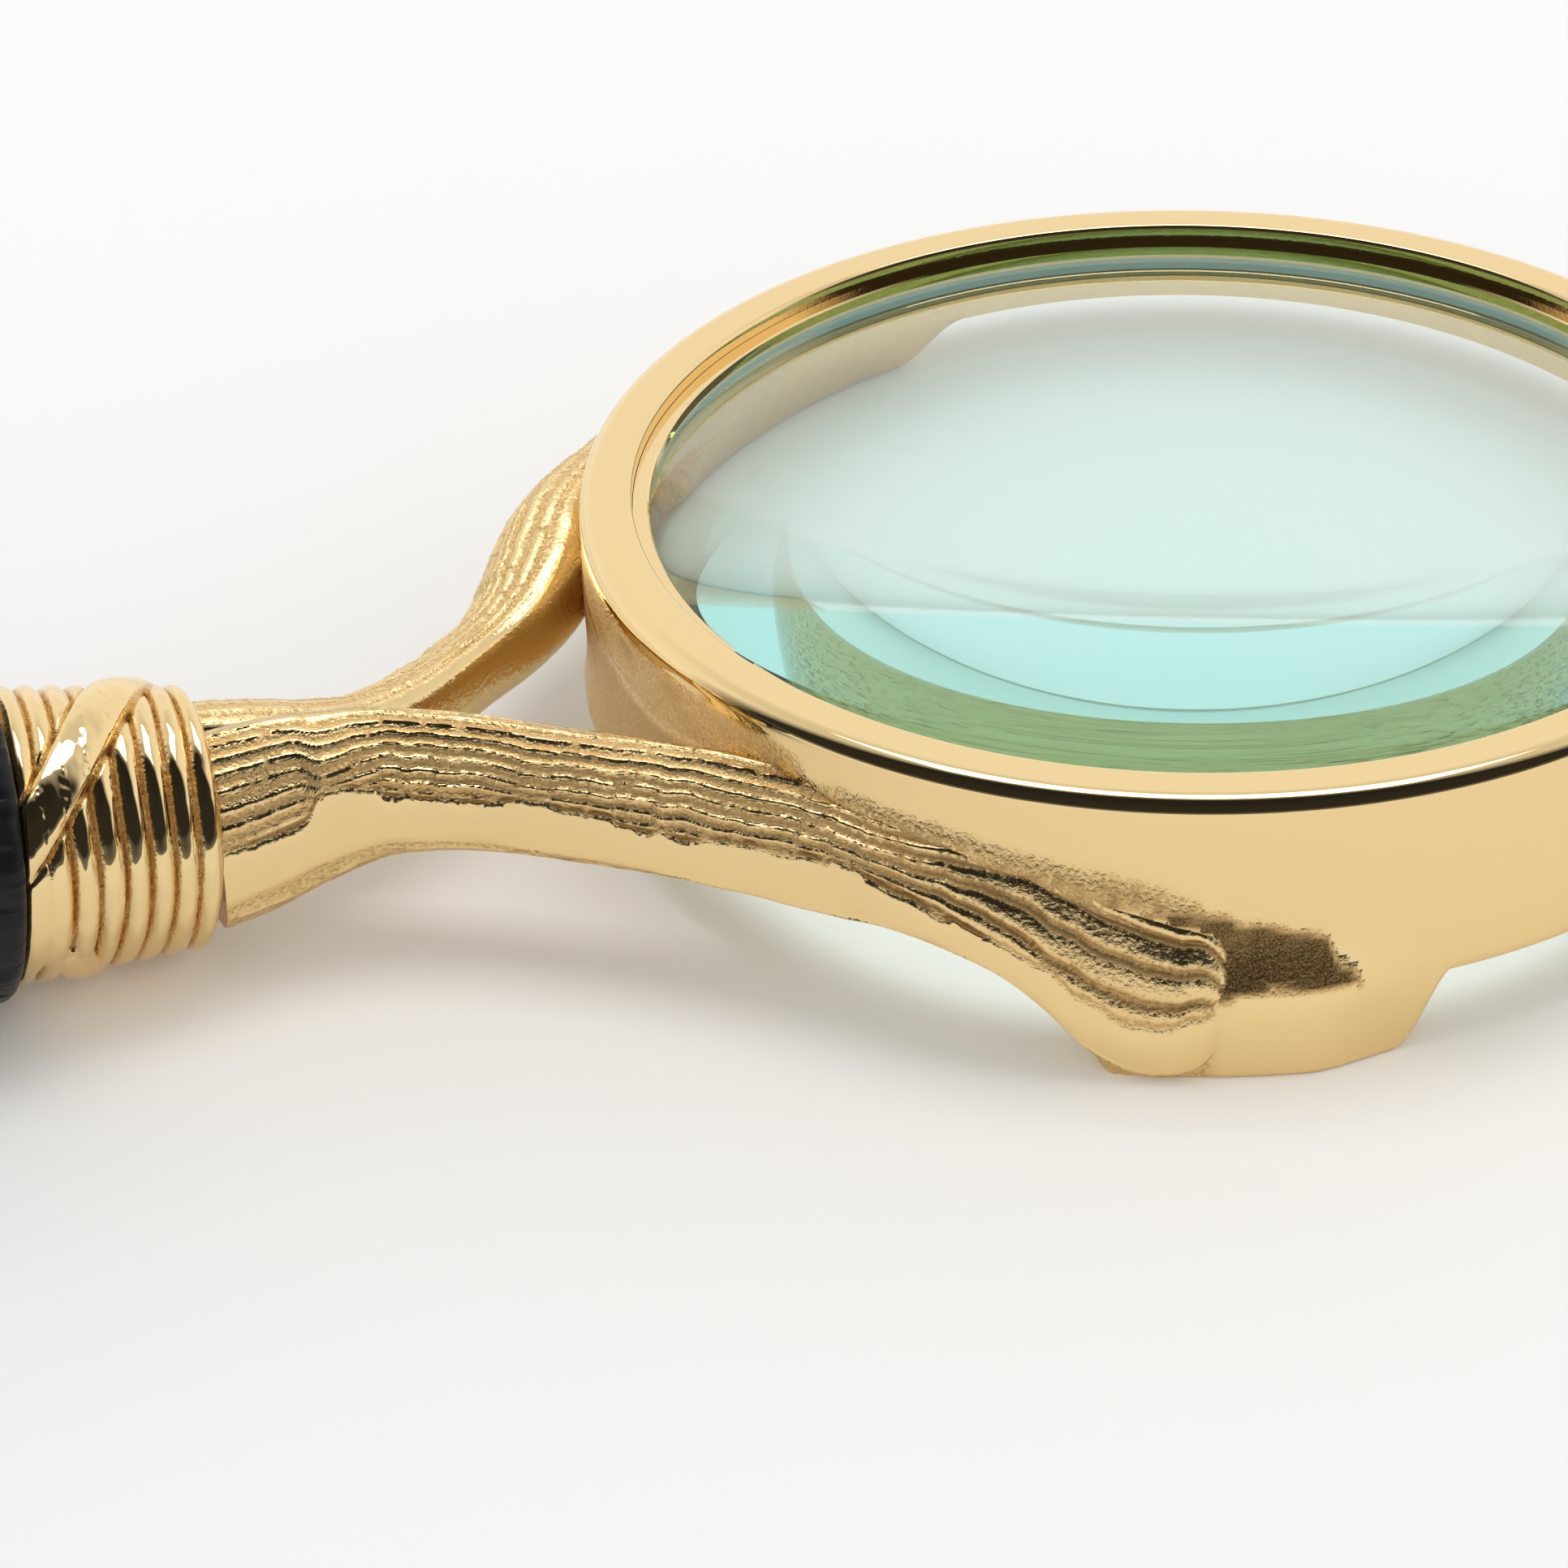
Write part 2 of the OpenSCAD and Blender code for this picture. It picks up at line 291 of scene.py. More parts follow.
def object_noise(tree, scale, detail=2.0, stretch=(1, 1, 1)):
    """Noise in object space."""
    coords = tree.nodes.new("ShaderNodeTexCoord")
    mapping = tree.nodes.new("ShaderNodeMapping")
    mapping.inputs["Scale"].default_value = stretch
    tex = add(tree, "ShaderNodeTexNoise", Scale=scale, Detail=detail)
    link(tree, coords.outputs["Object"], mapping.inputs["Vector"])
    link(tree, mapping.outputs["Vector"], tex.inputs["Vector"])
    return tex.outputs["Fac"]


def brass_material(name, polished, aged, rough, wave):
    """Polished brass whose as-cast areas, from the mesh attribute, are brown and grainy.

    The attribute runs from 0, polished, through 1, grainy, to 2, darkened with age; on the wall between the
    arms the same darkening is painted shade.
    """
    material, tree, shader = new_material(name)
    attribute = tree.nodes.new("ShaderNodeAttribute")
    attribute.attribute_name = "cast"
    cast = attribute.outputs["Fac"]
    grain = object_noise(tree, 2500, 5.0)
    broad = object_noise(tree, 260, 2.0)
    fine = object_noise(tree, 8000, 2.0)
    speck = remap(tree, grain, (0.35, 0.7), (0.55, 1.15))
    amount = compute(tree, "MULTIPLY_ADD", cast, speck, 0.0, clamp=True)
    # darkening above 1.05: the darkened patch beyond each tip and the grainy streaks, and painted shade on
    # the wall between the arms
    old = remap(tree, cast, (1.05, 1.9), (0.0, 1.15))
    spark = remap(tree, fine, (0.3, 0.65), (1.0, 0.55))
    fleck = compute(tree, "MULTIPLY", old, spark, clamp=True)
    skin = tint(tree, polished, aged, amount)
    link(tree, tint(tree, skin, DARK_AGE_AND_SHADE, fleck), shader.inputs["Base Color"])
    link(tree, remap(tree, amount, (0.0, 1.0), (rough, 0.42)), shader.inputs["Roughness"])
    link(tree, remap(tree, cast, (0.55, 0.85), (1.0, 0.88)), shader.inputs["Metallic"])
    soft = add(tree, "ShaderNodeBump", Strength=1.0, Distance=wave)
    link(tree, broad, soft.inputs["Height"])
    bump = add(tree, "ShaderNodeBump", Strength=1.0, Distance=0.00022)
    link(tree, compute(tree, "MULTIPLY", grain, amount), bump.inputs["Height"])
    link(tree, soft.outputs["Normal"], bump.inputs["Normal"])
    link(tree, bump.outputs["Normal"], shader.inputs["Normal"])
    return material


def plain_material(name, colour, metallic, rough, scale, vary):
    """One even material with a little procedural variation in roughness."""
    material, tree, shader = new_material(name)
    shader.inputs["Base Color"].default_value = (*colour, 1)
    shader.inputs["Metallic"].default_value = metallic
    spread = remap(tree, object_noise(tree, scale), (0.0, 1.0), (max(0.0, rough - vary), rough + vary))
    link(tree, spread, shader.inputs["Roughness"])
    return material


def glass_material():
    """Greenish glass that lets the lamps' direct light through to the paper."""
    material, tree, shader = new_material("lens_glass")
    shader.inputs["Base Color"].default_value = (1, 1, 1, 1)
    shader.inputs["Roughness"].default_value = 0.0
    shader.inputs["Transmission Weight"].default_value = 1.0
    shader.inputs["IOR"].default_value = 1.52
    clear = tree.nodes.new("ShaderNodeBsdfTransparent")
    clear.inputs["Color"].default_value = (0.93, 0.97, 0.95, 1)
    path = tree.nodes.new("ShaderNodeLightPath")
    either = tree.nodes.new("ShaderNodeMixShader")
    link(tree, path.outputs["Is Shadow Ray"], either.inputs["Fac"])
    link(tree, shader.outputs[0], either.inputs[1])
    link(tree, clear.outputs[0], either.inputs[2])
    link(tree, either.outputs[0], tree.nodes["Material Output"].inputs["Surface"])
    green = add(tree, "ShaderNodeVolumeAbsorption", Density=10.0)
    green.inputs["Color"].default_value = (0.27, 0.86, 0.80, 1)
    link(tree, green.outputs[0], tree.nodes["Material Output"].inputs["Volume"])
    return material


def grip_material():
    """Near-black grip with fine streaks along it."""
    material, tree, shader = new_material("black_grip")
    streak = object_noise(tree, 900, 4.0, (0.12, 1, 1))
    ramp = tree.nodes.new("ShaderNodeValToRGB")
    ramp.color_ramp.elements[0].color = (0.002, 0.002, 0.0025, 1)
    ramp.color_ramp.elements[1].color = (0.012, 0.012, 0.014, 1)
    link(tree, streak, ramp.inputs["Fac"])
    link(tree, ramp.outputs["Color"], shader.inputs["Base Color"])
    shader.inputs["Roughness"].default_value = 0.34
    shader.inputs["Specular IOR Level"].default_value = 0.2
    bump = add(tree, "ShaderNodeBump", Strength=0.8, Distance=0.00025)
    link(tree, streak, bump.inputs["Height"])
    link(tree, bump.outputs["Normal"], shader.inputs["Normal"])
    return material


BRASS = (0.885, 0.665, 0.335)
# dark tone for aged areas, also used as painted shade on the wall between the arms
DARK_AGE_AND_SHADE = (0.085, 0.050, 0.017)
brass_cast = brass_material("cast_brass", BRASS, (0.77, 0.515, 0.215), 0.035, 0.00001)
brass_turned = brass_material("turned_brass", BRASS, (0.40, 0.25, 0.105), 0.05, 0.000004)
glass = glass_material()
ground = plain_material("ground_glass_edge", (0.80, 0.88, 0.84), 0.0, 0.95, 900, 0.05)
rubber = plain_material("cushion_rubber", (0.60, 0.52, 0.30), 0.0, 0.5, 900, 0.05)
steel = plain_material("steel", (0.62, 0.62, 0.61), 1.0, 0.28, 1200, 0.06)
black = grip_material()

# ---- Rim with feet ---------------------------------------------------------
FOOT_FROM, FOOT_TO = 59.0, 86.0
FOOT_OUT = 2.0


def foot_mask(deg):
    """1 along a foot and 0 elsewhere; deg is measured from the handle side, either way round."""
    return smooth(deg, FOOT_FROM - 4, FOOT_FROM + 1) * (1 - smooth(deg, FOOT_TO - 3.2, FOOT_TO + 2.0))


def build_rim():
    """Rim band with both feet, fine on the handle's half and coarser on the plain half."""
    plain_step, fine_step = 1.0, 1 / 3
    a = np.radians(np.concatenate([np.arange(0, 90, plain_step), np.arange(90, 270, fine_step),
                                   np.arange(270, 360, plain_step)]))
    deg = np.degrees(np.abs(np.arctan2(np.sin(a), -np.cos(a))))     # 0 at the handle
    side = np.where(np.sin(a) < 0, 0.0, 7.3)
    foot = foot_mask(deg)[:, None]
    foot_end = smooth(deg, FOOT_FROM - 4, FOOT_FROM + 1) * (1 - smooth(deg, FOOT_TO - 1.6, FOOT_TO + 3.4))
    # the lip rises behind each arm, so that it doesn't show below it
    lip = LIP_Z + np.interp(deg, [18, 30, 38, 46, 52, 55], [0, 2.5, 2.8, 2.8, 1.4, 0])
    low = (lip * (1 - foot_end ** 0.75))[:, None]
    flare = (1 - smooth(deg, 30, 60))[:, None]

    # outer wall, from the bottom edge up to where the rounding starts
    t = np.linspace(0, 1, 34)[None, :]
    z = low + 0.5 + (TOP_Z - EDGE_R - low - 0.5) * t
    bump = FOOT_OUT * foot * (1 - smooth(z, 6.4, 12.6)) * (1 - 0.8 * smooth(deg, 76, 85))[:, None]
    bump = bump + 0.35 * flare * (1 - smooth(z, 7.0, 10.5))
    crest = np.interp(deg, ARM_TOP_DEG, ARM_TOP_Z)[:, None]
    beside = (smooth(deg, 30, 36) * (1 - smooth(deg, 66.5, 69.5)))[:, None]
    fillet = np.clip(1 - (z - crest) / 2.0, 0, 1) ** 2 * smooth(z, crest - 6, crest - 3)
    bump = bump + 0.4 * np.clip(fillet, 0, 1) * beside
    # as-cast, grainy wall between the arms; its darkening, strongest in the mottled band above the wavy
    # line, is painted shade and reflection of the arms in the crotch
    rough_zone = (1 - smooth(deg, 20, 30))[:, None] * (1 - smooth(z, 17.5, 20.5))
    wall_r = RIM_R + bump + 0.10 * rough_zone * noise(a[:, None] * 24, z * 0.5, side[:, None])
    wavy = 18.2 + 1.1 * noise(a[:, None] * 9, 3.1, side[:, None])
    # below the wavy line: as-cast grain, with a little painted shade in its darker tone
    cast = 1.2 * (1 - smooth(deg, 22, 31))[:, None] * (1 - smooth(z, wavy - 0.6, wavy + 0.4))
    # painted shade: a mottled dark band above the wavy line stands in for shade and the arms' reflection in
    # the crotch
    painted_shade_in_crotch = (1 - smooth(deg, 24, 32))[:, None] * smooth(z, wavy, wavy + 0.8) * (1 - smooth(z, 22.6, 23.8))
    cast = np.maximum(cast, painted_shade_in_crotch * (1.0 + 0.5 * noise(a[:, None] * 14, z * 0.45, side[:, None] + 3)))
    # darkened patch beyond the arm's tip
    rag = 0.35 * noise(a[:, None] * 40, z * 0.5, side[:, None])
    patch_top = np.interp(deg, [66, 78, 78.6, 80.5, 81.6], [15.6, 12.6, 10.6, 9.3, 7.2])[:, None] + rag
    patch_low = np.interp(deg, [66, 69.5, 73, 79.4, 81.6], [7.6, 7.6, 8.4, 8.0, 7.4])[:, None]
    patch = smooth(z, patch_low - 0.1, patch_low + 0.25) * (1 - smooth(z, patch_top - 0.7, patch_top + 0.5))
    beyond_tip = ((deg > 64) * (1 - smooth(deg, 80.2, 81.8)))[:, None]
    cast = np.maximum(cast, (1.85 + 0.3 * rag) * patch * beyond_tip)
    # grainy streak along the top of the arm
    fade = crest + np.interp(deg, [40, 55, 63, 68], [1.4, 1.9, 2.7, 2.0])[:, None]
    cast = np.maximum(cast, 1.3 * beside * (1 - smooth(z, fade - 2.4, fade + 0.9))
                      * (0.85 + 0.3 * noise(a[:, None] * 60, z * 1.2, side[:, None])))

    # rounded top edge, flat top, bore with its shoulder, and the underside
    rnd = np.linspace(0, math.pi / 2, 14)[None, 1:]
    r_round = RIM_R - EDGE_R + EDGE_R * np.cos(rnd) + 0 * low
    z_round = TOP_Z - EDGE_R + EDGE_R * np.sin(rnd) + 0 * low
    in_r = 0.45
    flat_r = np.linspace(RIM_R - EDGE_R - 0.15, BORE_R + in_r, 5)[None, :] + 0 * low
    inner = np.linspace(0, math.pi / 2, 6)[None, 1:]
    r_in = BORE_R + in_r - in_r * np.sin(inner) + 0 * low
    z_in = TOP_Z - in_r + in_r * np.cos(inner) + 0 * low
    one = 1 + 0 * low
    tail_r = np.concatenate([BORE_R * one, BORE_R * one, SEAT_R * one, SEAT_R * one, SEAT_R * one], 1)
    tail_z = np.concatenate([SEAT_Z + 4 * one, SEAT_Z * one, SEAT_Z * one, np.maximum(9.5, low + 1.0),
                             np.maximum(8.2, low + 0.6)], 1)
    foot_r = wall_r[:, :1]
    under_r = np.concatenate([SEAT_R + 1.2 * one, SEAT_R + 2.0 * one, foot_r - 1.2, foot_r - 0.5,
                              foot_r - 0.13], 1)
    under_z = np.concatenate([low + 0.4, low, low, low, low + 0.14], 1)
    radius = np.concatenate([wall_r, r_round, flat_r, r_in, tail_r, under_r], 1)
    height = np.concatenate([z, z_round, TOP_Z + 0 * flat_r, z_in, tail_z, under_z], 1)
    rough = np.concatenate([cast, 0 * r_round, 0 * flat_r, 0 * r_in, 0.45 + 0 * tail_r,
                            0.5 + 0 * under_r], 1)
    pts = place(radius * np.cos(a)[:, None], radius * np.sin(a)[:, None], height, False)
    return ring_mesh("rim_band", pts, brass_cast, rough)


# ---- Vine arms -------------------------------------------------------------
HUG_R = RIM_R - 0.8
TIP_FROM = 65.6                                  # degrees from the handle to the last full section


def hug(deg, *rest, out=0.0):
    """Station where the arm follows the rim, deg from the handle."""
    a = math.radians(deg)
    return (-(HUG_R + out) * math.cos(a), (HUG_R + out) * math.sin(a), *rest)


# x, y of the middle; half width outward and inward; height of the underside,
# lower band edge, upper band edge and top
HUG_END = [
    hug(54, 3.55, 3.4, 6.0, 7.0, 10.4, 18.3),
    hug(57.5, 3.55, 3.4, 2.6, 3.6, 7.6, 17.5),
    hug(61, 3.6, 3.4, 0.35, 1.6, 5.7, 16.7),
    hug(63.5, 3.7, 3.4, 0.1, 1.2, 5.4, 15.9),
    hug(TIP_FROM, 3.7, 3.4, 0.2, 1.4, 5.7, 15.1),
]
NEAR_ARM = [
    (-93.2, 4.5, 5.05, 5.0, 4.4, 9.2, 13.4, 21.6),
    (-88.0, 4.6, 4.70, 5.0, 5.5, 10.0, 14.3, 21.9),
    (-85.4, 4.65, 4.55, 4.95, 6.4, 10.6, 14.9, 21.9),
    (-83.6, 4.75, 4.45, 4.9, 7.0, 10.9, 17.3, 21.8),
    (-79.5, 5.2, 4.15, 4.7, 8.2, 11.5, 17.0, 21.5),
    (-76.0, 6.3, 4.05, 4.1, 9.1, 11.6, 15.9, 21.2),
    (-71.0, 8.7, 3.9, 3.9, 9.7, 11.7, 15.5, 20.9),
    (-64.5, 13.2, 3.8, 3.8, 9.9, 11.8, 16.2, 20.7),
    (-58.2, 18.2, 3.7, 3.7, 10.1, 11.5, 15.2, 20.9),
    (-52.0, 23.6, 3.6, 3.6, 10.3, 11.2, 15.2, 21.1),
    hug(35, 3.55, 3.4, 10.4, 11.0, 15.8, 20.9),
    hug(40, 3.55, 3.4, 10.8, 11.5, 15.2, 20.5),
    hug(45, 3.55, 3.4, 10.2, 11.1, 13.8, 19.9),
    hug(50, 3.55, 3.4, 8.8, 9.6, 12.3, 19.1),
] + HUG_END
FAR_ARM = [
    (-93.2, 4.5, 5.05, 5.0, 4.4, 9.2, 14.9, 21.0),
    (-88.0, 4.6, 4.70, 5.0, 5.5, 9.9, 14.6, 20.0),
    (-83.7, 4.7, 4.45, 4.9, 6.6, 10.6, 14.4, 18.9),
    (-79.5, 4.9, 4.15, 4.7, 8.0, 11.0, 14.0, 17.8),
    (-76.0, 6.0, 4.05, 4.1, 8.8, 11.0, 13.6, 17.1),
    (-71.0, 8.6, 3.9, 3.9, 9.3, 11.0, 13.4, 16.8),
    (-64.5, 13.2, 3.8, 3.8, 9.5, 11.0, 13.4, 16.8),
    (-60.0, 17.4, 3.8, 5.0, 9.6, 11.1, 13.8, 17.8),
    (-56.6, 22.4, 3.7, 6.5, 9.7, 11.2, 14.8, 19.5),
    (-52.6, 28.0, 3.6, 5.8, 10.0, 11.3, 15.6, 21.2),
    hug(37, 3.6, 3.5, 10.4, 11.4, 15.8, 21.5, out=2.6),
    hug(45, 3.6, 3.5, 9.9, 11.0, 14.6, 20.4, out=1.8),
] + HUG_END
ARM_TOP_DEG = [20, 35, 45, 54, 61, 67, 70]
ARM_TOP_Z = [21.0, 20.6, 19.6, 18.0, 16.4, 14.4, 11.0]
TIP_SWEEP = 4.4
TIP_MID_Z = 8.6


def ridge_height(u, v, seed, stray):
    """Height of the bark ridges, 0 in a valley to 1 on a crest.

    u is in mm along the arm, v runs from 0 at the polished band to 1 on top, and stray is how
    much the ridges wander.
    """
    tip = smooth(u, 60, 76)
    neck = 1 - smooth(u, 3, 15)
    count = 7.4 - 3.9 * tip
    wander = stray * (0.6 * noise(u * 0.05, v * 1.8, seed) + 0.035 * noise(u * 0.45, v * 4, seed + 5))
    droop = 1.6 * neck * np.clip(1 - v, 0, 1) ** 0.6 * np.sin(np.clip(u, 0, 15) / 15 * 1.3)
    t = v * count + wander + droop + 0.35
    t = t + 2.2 * smooth(u, 62, 88)
    f = t - np.floor(t)
    lane = np.floor(t)
    thin = np.exp(-((f - 0.5) / (0.27 + 0.06 * noise(u * 0.12, lane * 3.3, seed + 2))) ** 2)
    broad = 1 - np.exp(-(np.minimum(f, 1 - f) / 0.15) ** 2)
    h = thin * (1 - tip) + broad * tip
    crack = smooth(noise(u * 1.9, lane * 5.7, seed + 9), 0.70, 0.82)
    fade = 0.78 + 0.3 * noise(u * 0.10, lane * 2.9, seed + 3)
    return h * (1 - 0.8 * crack * (1 - tip)) * np.clip(fade, 0.25, 1)


def build_arm(stations, mirror, seed, stray, relief):
    """One arm from the neck to its tip; relief is the depth of its ridges in mm."""
    along = 280
    rows = np.array(stations)
    seg = np.hypot(*np.diff(rows[:, :2], axis=0).T)
    at = np.concatenate([[0], np.cumsum(seg)])
    length = at[-1]
    u = np.linspace(0, length, along)
    t = np.interp(u, at, np.arange(len(at)))
    body = catmull(rows, t)

    # rounded tip: the last section swings on and shrinks
    q = np.linspace(0, math.pi / 2, 16)[1:]
    shrink = np.cos(q)[:, None]
    tip = np.repeat(rows[-1:], len(q), 0)
    swing = np.radians(TIP_FROM + TIP_SWEEP * np.sin(q))
    tip[:, 0], tip[:, 1] = -HUG_R * np.cos(swing), HUG_R * np.sin(swing)
    tip[:, 2] = (3.5 - 1.2) * np.maximum(shrink[:, 0], 0.02) + 1.2 * shrink[:, 0] ** 0.3
    tip[:, 3] *= np.maximum(shrink[:, 0], 0.1)
    tip[:, 4:] = TIP_MID_Z + (tip[:, 4:] - TIP_MID_Z) * np.maximum(shrink, 0.02)
    rows_all = np.concatenate([body, tip])
    u_all = np.concatenate([u, length + HUG_R * np.radians(TIP_SWEEP) * np.sin(q)])
    strength = np.concatenate([np.ones(len(u)), shrink[:, 0]])[:, None]

    xy = rows_all[:, :2]
    run = np.gradient(xy, axis=0)
    run[0], run[1] = (1, 0), (1, 0.02)
    run /= np.linalg.norm(run, axis=1)[:, None]
    out_dir = np.stack([-run[:, 1], run[:, 0]], -1)

    w_out, w_in, z_bot, z_low, z_band, z_top = rows_all[:, 2:].T
    ragged = 0.35 * noise(u_all * 0.55, 2.2, seed) + 0.18 * noise(u_all * 1.7, 4.2, seed)
    z_band = z_band + ragged * strength[:, 0]
    rise = z_top - z_band
    h_all = z_top - z_bot
    hugging = smooth(u_all, at[-10], at[-8])
    # outline of a section, from the lower band edge up the outside, over the top and back below
    ctrl = [
        (w_out * 0.99, z_low), (w_out * 1.02, (z_low + z_band) / 2), (w_out * 0.985, z_band),
        (w_out * 0.86, z_band + 0.34 * rise), (w_out * 0.56, z_band + 0.66 * rise),
        (w_out * (0.16 + 0.08 * hugging), z_band + 0.90 * rise), (-0.38 * w_in, z_top),
        (-0.84 * w_in, z_top - 0.11 * h_all), (-w_in, z_top - 0.38 * h_all),
        (-0.97 * w_in, z_bot + 0.32 * h_all), (-0.70 * w_in, z_bot + 0.07 * h_all), (-0.2 * w_in, z_bot),
        (0.42 * w_out, z_bot + 0.02 * h_all), (w_out * 0.84, z_bot + 0.35 * (z_low - z_bot)),
    ]
    ctrl = np.stack([np.stack(np.broadcast_arrays(*c), -1) for c in ctrl], 1)
    samples = [4, 4, 16, 18, 16, 14, 6, 5, 4, 4, 4, 4, 5, 5]
    section, slope = [], []
    m = len(samples)
    for k, n in enumerate(samples):
        p0, p1, p2, p3 = (ctrl[:, (k + j) % m] for j in (-1, 0, 1, 2))
        for j in range(n):
            f = j / n
            section.append(spline(p0, p1, p2, p3, f))
            slope.append(k + f)
    section = np.stack(section, 1)                     # (along, around, (out, z))
    slope = np.array(slope)
    tangent = np.roll(section, -1, 1) - np.roll(section, 1, 1)
    tangent /= np.maximum(np.linalg.norm(tangent, axis=2, keepdims=True), 1e-9)
    normal = np.stack([tangent[..., 1], -tangent[..., 0]], -1)

    uu = u_all[:, None]
    v = (slope[None, :] - 2) / 4.0                     # 0 at the band edge, 1 on top
    pad = 24
    even = np.convolve(np.pad(rise, pad, mode="edge"), np.ones(2 * pad + 1) / (2 * pad + 1), "valid")
    run_v = 1 - (1 - v) * (rise / even)[:, None]       # ridges keep their distance from the top
    on_slope = smooth(v, 0.0, 0.05) * (1 - smooth(v, 1.02, 1.16))
    ridge = ridge_height(uu, run_v, seed, stray)
    groove = np.exp(-((v - 0.035) / 0.03) ** 2)
    under = smooth(slope, 10.6, 11.2) * (1 - smooth(slope, 13.85, 14.0))
    under_h = 0.5 + 0.5 * np.sin(slope * 11 + 2.5 * noise(uu * 0.12, slope, seed))
    depth = relief + (0.75 - relief) * smooth(uu, 55, 75)
    lift = (depth * (ridge - 0.6) + 0.014 * noise(uu * 2.6, v * 30, seed)) * on_slope - 0.20 * groove
    lift = lift + (0.16 + 0.16 * (1 - smooth(uu, 8, 16))) * (under_h - 0.5) * under
    lift = lift + 0.07 * noise(uu * 0.3, slope * 0.9, seed + 4)
    lift = lift * strength * smooth(uu, -0.5, 1.5)
    section = section + normal * lift[..., None]
    section[..., 1] = np.maximum(section[..., 1], 0.0)

    end = smooth(uu, 58, 74)
    satin = np.clip(0.24 + 0.04 * end + 0.2 * noise(uu * 0.35, v * 5, seed + 7), 0, 1)
    valley = (1 - smooth(ridge, 0.22, 0.60 + 0.15 * end)) * (1 + 0.3 * end)
    cast = on_slope * np.maximum(valley, satin) + 0.9 * groove + 0.85 * under * (1 - 0.6 * under_h)
    cast = np.maximum(cast, 0.38 * smooth(slope, 6.6, 7.4) * (1 - smooth(slope, 10.0, 10.8)))
    cast = np.clip(cast, 0, 1.35) * np.where(strength > 0.2, 1, 0.5)

    x = xy[:, None, 0] + out_dir[:, None, 0] * section[..., 0]
    y = xy[:, None, 1] + out_dir[:, None, 1] * section[..., 0]
    pts = place(x, -y if mirror else y, section[..., 1], False)
    return tube_mesh("vine_arm", pts, brass_cast, cast, 50)


# ---- Casting ---------------------------------------------------------------
rim = build_rim()
near_arm = build_arm(NEAR_ARM, True, 0.0, 0.7, 0.43)
far_arm = build_arm(FAR_ARM, False, 40.0, 0.35, 0.36)
spigot = rod("spigot", SPIGOT_R, -6.0, COLLAR_LEN - 1.0, brass_cast)
parts = [rim, near_arm, far_arm]
points = np.concatenate([np.array([v.co[:] for v in o.data.vertices]) for o in parts])
values = np.concatenate([[d.value for d in o.data.attributes["cast"].data] for o in parts])
bores = [rod("rod_bore", ROD_BORE_R, -12.0, 30.0, steel),
         rod("pin_bore", PIN_BORE_R, -3.0, 1.0, steel, -PIN_AT)]
boolean(rim, [near_arm, far_arm, spigot], "UNION")
boolean(rim, bores, "DIFFERENCE")
casting = rim
casting.name = "casting"
nearest = kdtree.KDTree(len(points))
for index, point in enumerate(points):
    nearest.insert(point, index)
nearest.balance()
mesh = casting.data
weld = bmesh.new()                               # closes the hair-thin edges that the joining leaves
weld.from_mesh(mesh)
bmesh.ops.remove_doubles(weld, verts=weld.verts, dist=1e-6)
weld.to_mesh(mesh)
weld.free()
for old in [a for a in mesh.attributes if a.name == "cast"]:
    mesh.attributes.remove(old)
found = [nearest.find(v.co) for v in mesh.vertices]
REACH = 0.0006                                   # metres within which a vertex keeps its old value
level = [values[i] if gap < REACH else 0.0 for _, i, gap in found]
mesh.attributes.new("cast", "FLOAT", "POINT").data.foreach_set("value", np.asarray(level, np.float32))
mesh.materials.clear()
mesh.materials.append(brass_cast)
mesh.polygons.foreach_set("material_index", [0] * len(mesh.polygons))
finish_shading(mesh, 42)


